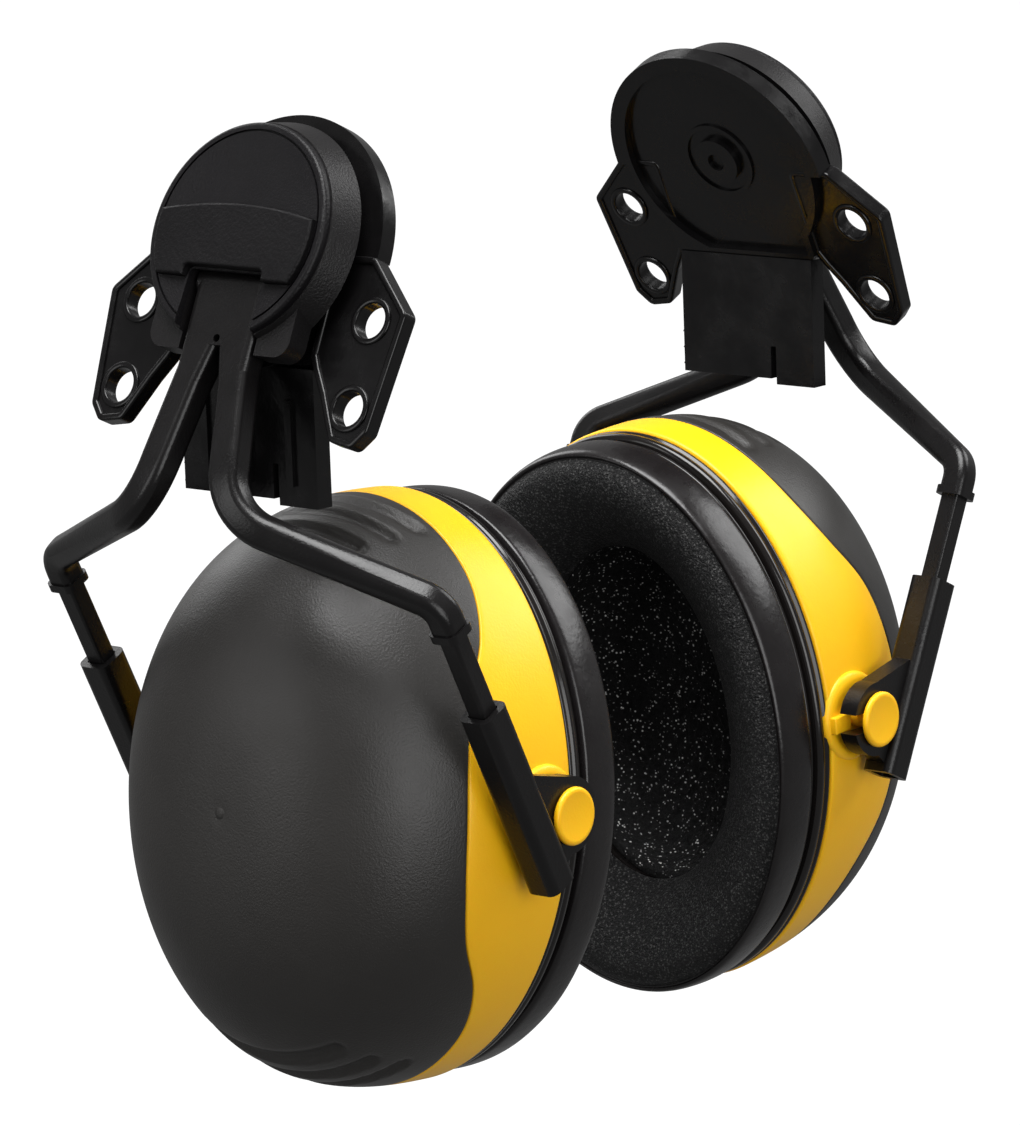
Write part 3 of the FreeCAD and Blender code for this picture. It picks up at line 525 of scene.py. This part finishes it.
# share of the way from the outside to the hole, height, how firmly the skin is held there
CUSHION_SECTION = [
    (0.45, -4.85, 1.0), (0.25, -4.85, 1.0), (0.08, -4.85, 1.0), (0.025, -4.95, 1.0), (0.0, -5.3, 0.7),
    (-0.006, -5.9, 0.2), (-0.01, -6.8, 0.0), (-0.012, -7.8, 0.0), (-0.012, -8.8, 0.0),
    (-0.01, -9.8, 0.0), (-0.006, -10.8, 0.0), (0.0, -11.7, 0.0), (0.008, -12.5, 0.1),
    (0.02, -13.1, 0.5), (0.038, -13.45, 1.0), (0.056, -13.4, 1.0), (0.066, -13.1, 1.0),
    (0.076, -13.1, 1.0), (0.088, -13.55, 0.8), (0.108, -14.15, 0.2), (0.14, -14.65, 0.0),
    (0.18, -15.0, 0.0), (0.23, -15.2, 0.0), (0.29, -15.2, 0.0), (0.36, -15.0, 0.0),
    (0.43, -14.65, 0.0), (0.5, -14.15, 0.0), (0.57, -13.5, 0.0), (0.64, -12.75, 0.0),
    (0.71, -11.85, 0.0), (0.77, -10.9, 0.0), (0.83, -9.85, 0.0), (0.88, -8.75, 0.0),
    (0.925, -7.6, 0.1), (0.96, -6.5, 0.3), (0.985, -5.5, 0.8), (0.98, -4.95, 1.0), (0.9, -4.85, 1.0),
    (0.68, -4.85, 1.0)]
SIDE_ROWS = range(2, 17)   # rows of faces in the smooth side foil, up to the seam
CUSHION_SEGMENTS = 208
SWELL_CAP = 0.9            # how far the cloth run may move a point
SWELL_STEPS = 20
PRESSURE = 4.0
STRETCH = 12.0
BENDING = 0.4
CREASE = 0.00012           # slow unevenness of the skin, in metres, and its noise's scale
CREASE_SCALE = 90.0


def cushion_loops():
    """The cushion's section carried round the ear opening."""
    turn = np.arange(CUSHION_SEGMENTS) * 2 * math.pi / CUSHION_SEGMENTS
    loops = []
    for share, h, _ in CUSHION_SECTION:
        a = CUSHION_OUT[0] + (CUSHION_HOLE[0] - CUSHION_OUT[0]) * share
        b = CUSHION_OUT[1] + (CUSHION_HOLE[1] - CUSHION_OUT[1]) * share
        loops.append(np.stack([a * np.cos(turn), b * np.sin(turn), np.full(len(turn), h)], axis=1))
    return loops


def swell(piece, held):
    """Inflate the cushion's skin between its seams with a short cloth run."""
    group = piece.vertex_groups.new(name="held")
    for index, weight in enumerate(held):
        if weight > 0:
            group.add([index], weight, "REPLACE")
    before = np.array([v.co for v in piece.data.vertices])
    cloth = piece.modifiers.new("Cloth", "CLOTH")
    settings = cloth.settings
    settings.vertex_group_mass = "held"
    settings.use_pressure = True
    settings.uniform_pressure_force = PRESSURE
    settings.mass = 0.1
    settings.tension_stiffness = STRETCH
    settings.compression_stiffness = STRETCH
    settings.bending_stiffness = BENDING
    settings.effector_weights.gravity = 0.0
    cloth.point_cache.frame_start = 1
    cloth.point_cache.frame_end = SWELL_STEPS
    for step in range(1, SWELL_STEPS + 1):
        SCENE.frame_set(step)
    result = piece.evaluated_get(bpy.context.evaluated_depsgraph_get())
    after = np.array([v.co for v in result.data.vertices])
    piece.modifiers.remove(cloth)
    move = after - before
    far = np.linalg.norm(move, axis=1, keepdims=True)
    move *= np.minimum(1.0, SWELL_CAP * MM / np.maximum(far, 1e-9))
    piece.data.vertices.foreach_set("co", (before + move).ravel())
    piece.vertex_groups.remove(group)
    SCENE.frame_set(1)
    print(piece.name, "swelled by up to", round(float(far.max()) / MM, 2), "mm before the cap")


def ear_cushion(cup, side_material, face_material):
    """Padded ring: a smooth side, a welded seam and a grained face."""
    skin = Skin().loft(cushion_loops(), closed=True)
    cushion = skin.build(cup.prefix + "_ear_cushion_skin", cup)
    held = [weight for _, _, weight in CUSHION_SECTION for _ in range(CUSHION_SEGMENTS)]
    swell(cushion, held)
    for v in cushion.data.vertices:
        place = v.co * CREASE_SCALE + Vector((3.1, 0, cup.side))
        v.co += v.normal * noise.noise(place) * CREASE
    placed(cushion, cup.body, side_material, [cup.prefix + "_ear_cushion"])
    cushion.data.materials.append(face_material)
    for face in cushion.data.polygons:
        row = min(face.vertices) // CUSHION_SEGMENTS
        face.material_index = 0 if row in SIDE_ROWS else 1
    smooth = cushion.modifiers.new("Smooth", "SUBSURF")
    smooth.levels = 1
    smooth.render_levels = 1


# ---------------------------------------------------------------- materials
class Finish:
    """A material with one Principled shader, and short calls for its nodes."""

    def __init__(self, name):
        self.material = bpy.data.materials.new(name)
        self.material.use_nodes = True
        self.tree = self.material.node_tree
        self.shader = self.tree.nodes["Principled BSDF"]
        self.place = self.tree.nodes.new("ShaderNodeTexCoord").outputs["Object"]

    def set(self, **values):
        for name, value in values.items():
            self.shader.inputs[name.replace("_", " ")].default_value = value

    def link(self, output, socket):
        self.tree.links.new(output, self.shader.inputs[socket])

    def noise(self, scale, detail, rough):
        node = self.tree.nodes.new("ShaderNodeTexNoise")
        node.inputs["Scale"].default_value = scale
        node.inputs["Detail"].default_value = detail
        node.inputs["Roughness"].default_value = rough
        self.tree.links.new(self.place, node.inputs["Vector"])
        return node.outputs["Fac"]

    def cells(self, scale):
        node = self.tree.nodes.new("ShaderNodeTexVoronoi")
        node.feature = "F1"
        node.inputs["Scale"].default_value = scale
        self.tree.links.new(self.place, node.inputs["Vector"])
        return node.outputs["Distance"]

    def spread(self, value, low, high, out_low, out_high):
        node = self.tree.nodes.new("ShaderNodeMapRange")
        numbers = {"From Min": low, "From Max": high, "To Min": out_low, "To Max": out_high}
        for name, number in numbers.items():
            node.inputs[name].default_value = number
        self.tree.links.new(value, node.inputs["Value"])
        return node.outputs["Result"]

    def math(self, operation, first, second):
        node = self.tree.nodes.new("ShaderNodeMath")
        node.operation = operation
        for index, value in enumerate((first, second)):
            if isinstance(value, (int, float)):
                node.inputs[index].default_value = value
            else:
                self.tree.links.new(value, node.inputs[index])
        return node.outputs["Value"]

    def colours(self, value, stops):
        node = self.tree.nodes.new("ShaderNodeValToRGB")
        ramp = node.color_ramp
        while len(ramp.elements) < len(stops):
            ramp.elements.new(0.5)
        for element, (position, colour) in zip(ramp.elements, stops):
            element.position = position
            element.color = (*colour, 1.0)
        self.tree.links.new(value, node.inputs["Fac"])
        return node.outputs["Color"]

    def bump(self, value, depth):
        node = self.tree.nodes.new("ShaderNodeBump")
        node.inputs["Distance"].default_value = depth
        node.inputs["Strength"].default_value = 1.0
        self.tree.links.new(value, node.inputs["Height"])
        self.link(node.outputs["Normal"], "Normal")


def plastic(name, dark, light, rough, grain, grain_depth, blotch, specular):
    """Moulded plastic: a slow change of tone and gloss under a fine spark-eroded grain."""
    finish = Finish(name)
    slow = finish.noise(blotch, 4.0, 0.6)
    finish.link(finish.colours(slow, [(0.3, dark), (0.7, light)]), "Base Color")
    wipe = finish.noise(blotch * WIPE_SHARE, 3.0, 0.6)
    finish.link(finish.spread(wipe, 0.3, 0.7, rough[0], rough[1]), "Roughness")
    fine = finish.noise(grain, 2.0, 0.6)
    finish.bump(fine, grain_depth)
    finish.shader.inputs["Specular IOR Level"].default_value = specular
    return finish


def painted_glint_foil(name, tone, rough, grain, specks, patch_low, specular):
    """Black foil or foam skin with painted glints: bright specks in the base colour stand in for light
    that its grain catches.
    """
    grain_scale, grain_depth = grain
    speck_scale, speck_size, painted_glint_gain = specks
    finish = Finish(name)
    cell = finish.cells(speck_scale)
    lit = finish.spread(cell, speck_size, speck_size * PAINTED_GLINT_CORE, 0.0, 1.0)
    patch = finish.noise(speck_scale * PATCH_SHARE, 3.0, 0.7)
    patch = finish.spread(patch, patch_low, patch_low + PATCH_RISE, 0.0, 1.0)
    lit = finish.math("MULTIPLY", lit, patch)
    # Painted glints: the specks lighten the base colour where the grain would catch a highlight.
    base = finish.colours(lit, [(0.0, tone), (1.0, (painted_glint_gain, painted_glint_gain, painted_glint_gain * 0.98))])
    finish.link(base, "Base Color")
    fine = finish.noise(grain_scale, 3.0, 0.7)
    finish.link(finish.spread(fine, 0.35, 0.65, rough[0], rough[1]), "Roughness")
    finish.bump(fine, grain_depth)
    finish.shader.inputs["Specular IOR Level"].default_value = specular
    return finish


WIPE_SHARE = 2.3           # scale of the gloss's change over that of the tone
PAINTED_GLINT_CORE = 0.45          # fully bright part of a painted glint speck
PATCH_SHARE = 0.45         # scale of the patches with specks over that of the specks
PATCH_RISE = 0.1

# name, dark and light tone, roughness from and to, grain's scale and depth, tone's scale, specular
PLASTICS = {
    "shell": ("matte_charcoal_shell", (0.0135, 0.0123, 0.0112), (0.0185, 0.017, 0.0156),
              (0.4, 0.48), 2600.0, 0.00008, 35.0, 0.42),
    "band": ("golden_yellow_band", (0.83, 0.43, 0.004), (0.87, 0.465, 0.006),
             (0.36, 0.44), 1800.0, 0.00003, 35.0, 0.35),
    "arm": ("black_satin_arm", (0.0032, 0.0029, 0.003), (0.0048, 0.0043, 0.0045),
            (0.24, 0.34), 2200.0, 0.00004, 35.0, 0.3),
    "adapter": ("gloss_black_adapter", (0.0022, 0.0021, 0.0022), (0.0036, 0.0033, 0.0035),
                (0.12, 0.32), 900.0, 0.00003, 60.0, 0.27),
    "housing": ("fine_grain_housing", (0.0036, 0.0032, 0.0034), (0.0052, 0.0046, 0.0049),
                (0.36, 0.46), 2600.0, 0.00009, 35.0, 0.26),
    "cap": ("fine_grain_cap", (0.0032, 0.0029, 0.0034), (0.0048, 0.0043, 0.005),
            (0.36, 0.46), 2400.0, 0.0001, 35.0, 0.18),
    "cap_panel": ("coarse_grain_panel", (0.0027, 0.0025, 0.0028), (0.0042, 0.0038, 0.0043),
                  (0.4, 0.5), 1500.0, 0.00016, 35.0, 0.14),
    "ear_plate": ("gloss_black_ear_plate", (0.0052, 0.0043, 0.004), (0.0075, 0.0063, 0.006),
                  (0.1, 0.2), 600.0, 0.00001, 35.0, 0.4),
    "cushion_side": ("smooth_foil_side", (0.0055, 0.0047, 0.0048), (0.0085, 0.0072, 0.0075),
                     (0.22, 0.32), 700.0, 0.00005, 90.0, 0.36),
    "steel": ("bright_steel", (0.5, 0.49, 0.48), (0.58, 0.57, 0.55),
              (0.25, 0.4), 3000.0, 0.00001, 35.0, 0.5),
    "washer": ("pale_nylon_washer", (0.55, 0.53, 0.48), (0.62, 0.6, 0.55),
               (0.4, 0.5), 1500.0, 0.00003, 35.0, 0.5)}

# name, tone, roughness from and to, grain's scale and depth, painted glint specks' scale, size and
# brightness, where patches of painted glints start, specular
PAINTED_GLINTS = {
    "cushion_face": ("grained_foil_face", (0.003, 0.0029, 0.0031), (0.4, 0.6), (2100.0, 0.0007),
                     (1900.0, 0.42, 0.06), 0.38, 0.22),
    "foam": ("open_cell_foam", (0.0042, 0.0041, 0.0043), (0.55, 0.85), (1400.0, 0.0006),
             (1350.0, 0.3, 0.8), 0.47, 0.2)}


def make_materials():
    made = {slot: plastic(*values) for slot, values in PLASTICS.items()}
    made.update({slot: painted_glint_foil(*values) for slot, values in PAINTED_GLINTS.items()})
    made["band"].set(Subsurface_Weight=0.12, Subsurface_Scale=0.002)
    made["steel"].set(Metallic=1.0)
    return {slot: finish.material for slot, finish in made.items()}


NODE_MATERIALS = {
    "adapter_plate": "adapter", "hub_pin": "adapter", "friction_washer": "washer", "housing": "housing",
    "cap": "cap", "cap_panel": "cap_panel", "tilt_pin": "steel", "press_spring": "steel", "arm": "arm",
    "front_stem": "arm", "rear_stem": "arm", "front_clip": "arm", "rear_clip": "arm",
    "cup_shell": "shell", "cup_band": "band", "front_stud": "band", "rear_stud": "band",
    "ear_plate": "ear_plate", "cushion_carrier": "ear_plate", "ear_cushion": "cushion_face",
    "foam_liner": "foam"}


def dress_nodes(materials):
    """Every node of the frame gets a finish, also those that a finer piece replaces."""
    for name, node in NODES.items():
        kind = name.split("_", 1)[1]
        node.data.materials.clear()
        node.data.materials.append(materials[NODE_MATERIALS[kind]])


# ---------------------------------------------------------------- stage, light and camera
FLOOR_DROP = 0.035           # clear of a cup whose clips are slid all the way down
FLOOR_R = 2.5                # flat part of the sweep
CURVE_R = 0.9                # its curve up to the wall
CURVE_STEPS = 8
WALL = [(3.4, 1.6), (3.4, 2.6)]
SWEEP_SEGMENTS = 96
SURROUND = 0.26              # strength of the even white surround
# azimuth and elevation in degrees, distance and size in metres, power in watts
LAMPS = {
    "top": (-70, 76, 1.25, 0.9, 36),
    "rim": (62, 34, 1.3, 0.7, 8),
    "fill": (-22, 4, 1.7, 1.2, 20),
    "side": (-112, 12, 1.6, 0.8, 5),
    "back": (165, 30, 1.6, 0.9, 8)}


def sweep_profile():
    """Radius and height of the sweep from its middle out."""
    profile = [(FLOOR_R * k / 5, 0.0) for k in range(1, 6)]
    for step in range(1, CURVE_STEPS + 1):
        turn = step * math.pi / 2 / CURVE_STEPS
        profile.append((FLOOR_R + CURVE_R * math.sin(turn), CURVE_R - CURVE_R * math.cos(turn)))
    return profile + WALL


def white_sweep():
    profile = sweep_profile()
    count = SWEEP_SEGMENTS
    verts = []
    for radius, rise in profile:
        for k in range(count):
            turn = 2 * math.pi * k / count
            verts.append((radius * math.cos(turn), radius * math.sin(turn),
                          CAD_LOW.z - FLOOR_DROP + rise))
    faces = []
    for i in range(len(profile) - 1):
        for k in range(count):
            m = (k + 1) % count
            faces.append((i * count + k, i * count + m, (i + 1) * count + m, (i + 1) * count + k))
    faces.append(tuple(range(count - 1, -1, -1)))
    mesh = bpy.data.meshes.new("sweep")
    mesh.from_pydata(verts, [], faces)
    mesh.polygons.foreach_set("use_smooth", [True] * len(mesh.polygons))
    sweep = bpy.data.objects.new("sweep", mesh)
    SCENE.collection.objects.link(sweep)
    paper = Finish("white_paper")
    paper.set(Base_Color=(0.02, 0.02, 0.02, 1), Roughness=0.9)
    paper.set(Emission_Color=(1, 1, 1, 1), Emission_Strength=1.0)
    mesh.materials.append(paper.material)
    sweep.visible_diffuse = False
    sweep.visible_glossy = False


def studio():
    """A round white sweep, soft lamps and an even white surround."""
    white_sweep()
    world = bpy.data.worlds.new("surround")
    world.use_nodes = True
    world.node_tree.nodes["Background"].inputs["Color"].default_value = (1, 1, 1, 1)
    world.node_tree.nodes["Background"].inputs["Strength"].default_value = SURROUND
    SCENE.world = world
    for name, values in LAMPS.items():
        lamp(name, *values)


def direction(azimuth, elevation):
    """Unit vector towards a place round the object, from -Y at azimuth 0 turning to +X."""
    a, e = math.radians(azimuth), math.radians(elevation)
    return Vector((math.sin(a) * math.cos(e), -math.cos(a) * math.cos(e), math.sin(e)))


def lamp(name, azimuth, elevation, distance, size, power):
    light = bpy.data.lights.new(name, "AREA")
    light.size = size
    light.energy = power
    holder = bpy.data.objects.new(name, light)
    SCENE.collection.objects.link(holder)
    middle = (CAD_LOW + CAD_HIGH) / 2
    back = direction(azimuth, elevation)
    holder.location = middle + back * distance
    holder.rotation_mode = "QUATERNION"
    holder.rotation_quaternion = (-back).to_track_quat("-Z", "Y")
    holder.visible_camera = False


VIEW_AZIMUTH = -49.73
VIEW_ELEVATION = 11.01
VIEW_ROLL = math.radians(-2.11)
VIEW_DISTANCE = 1.09347
VIEW_TARGET = Vector((-0.00814, -0.0039, -0.06278))
LENS = 199.4


def camera():
    data = bpy.data.cameras.new("camera")
    data.lens = LENS
    data.clip_start = 0.05
    data.clip_end = 20.0
    eye = bpy.data.objects.new("camera", data)
    SCENE.collection.objects.link(eye)
    back = direction(VIEW_AZIMUTH, VIEW_ELEVATION)
    level = Vector((0, 0, 1)).cross(back).normalized()
    upright = back.cross(level)
    right = level * math.cos(VIEW_ROLL) + upright * math.sin(VIEW_ROLL)
    up = back.cross(right)
    turn = Matrix((right, up, back)).transposed().to_4x4()
    eye.matrix_world = Matrix.Translation(VIEW_TARGET + back * VIEW_DISTANCE) @ turn
    SCENE.camera = eye


def main():
    SCENE.view_settings.view_transform = "Standard"
    materials = make_materials()
    dress_nodes(materials)
    for prefix in SIDES:
        cup = cup_axes(prefix)
        plate = plate_axes(prefix)
        cup_shell(cup, materials["shell"])
        cup_band(cup, materials["band"])
        for name, side in (("front", 1), ("rear", -1)):
            stud(cup, name, side, materials["band"])
            wing_border(plate, name, side, materials["adapter"])
        ear_plate(cup, materials["ear_plate"])
        cushion_carrier(cup, materials["ear_plate"])
        ear_cushion(cup, materials["cushion_side"], materials["cushion_face"])
        foam_liner(cup, materials["foam"])
    studio()
    camera()


main()
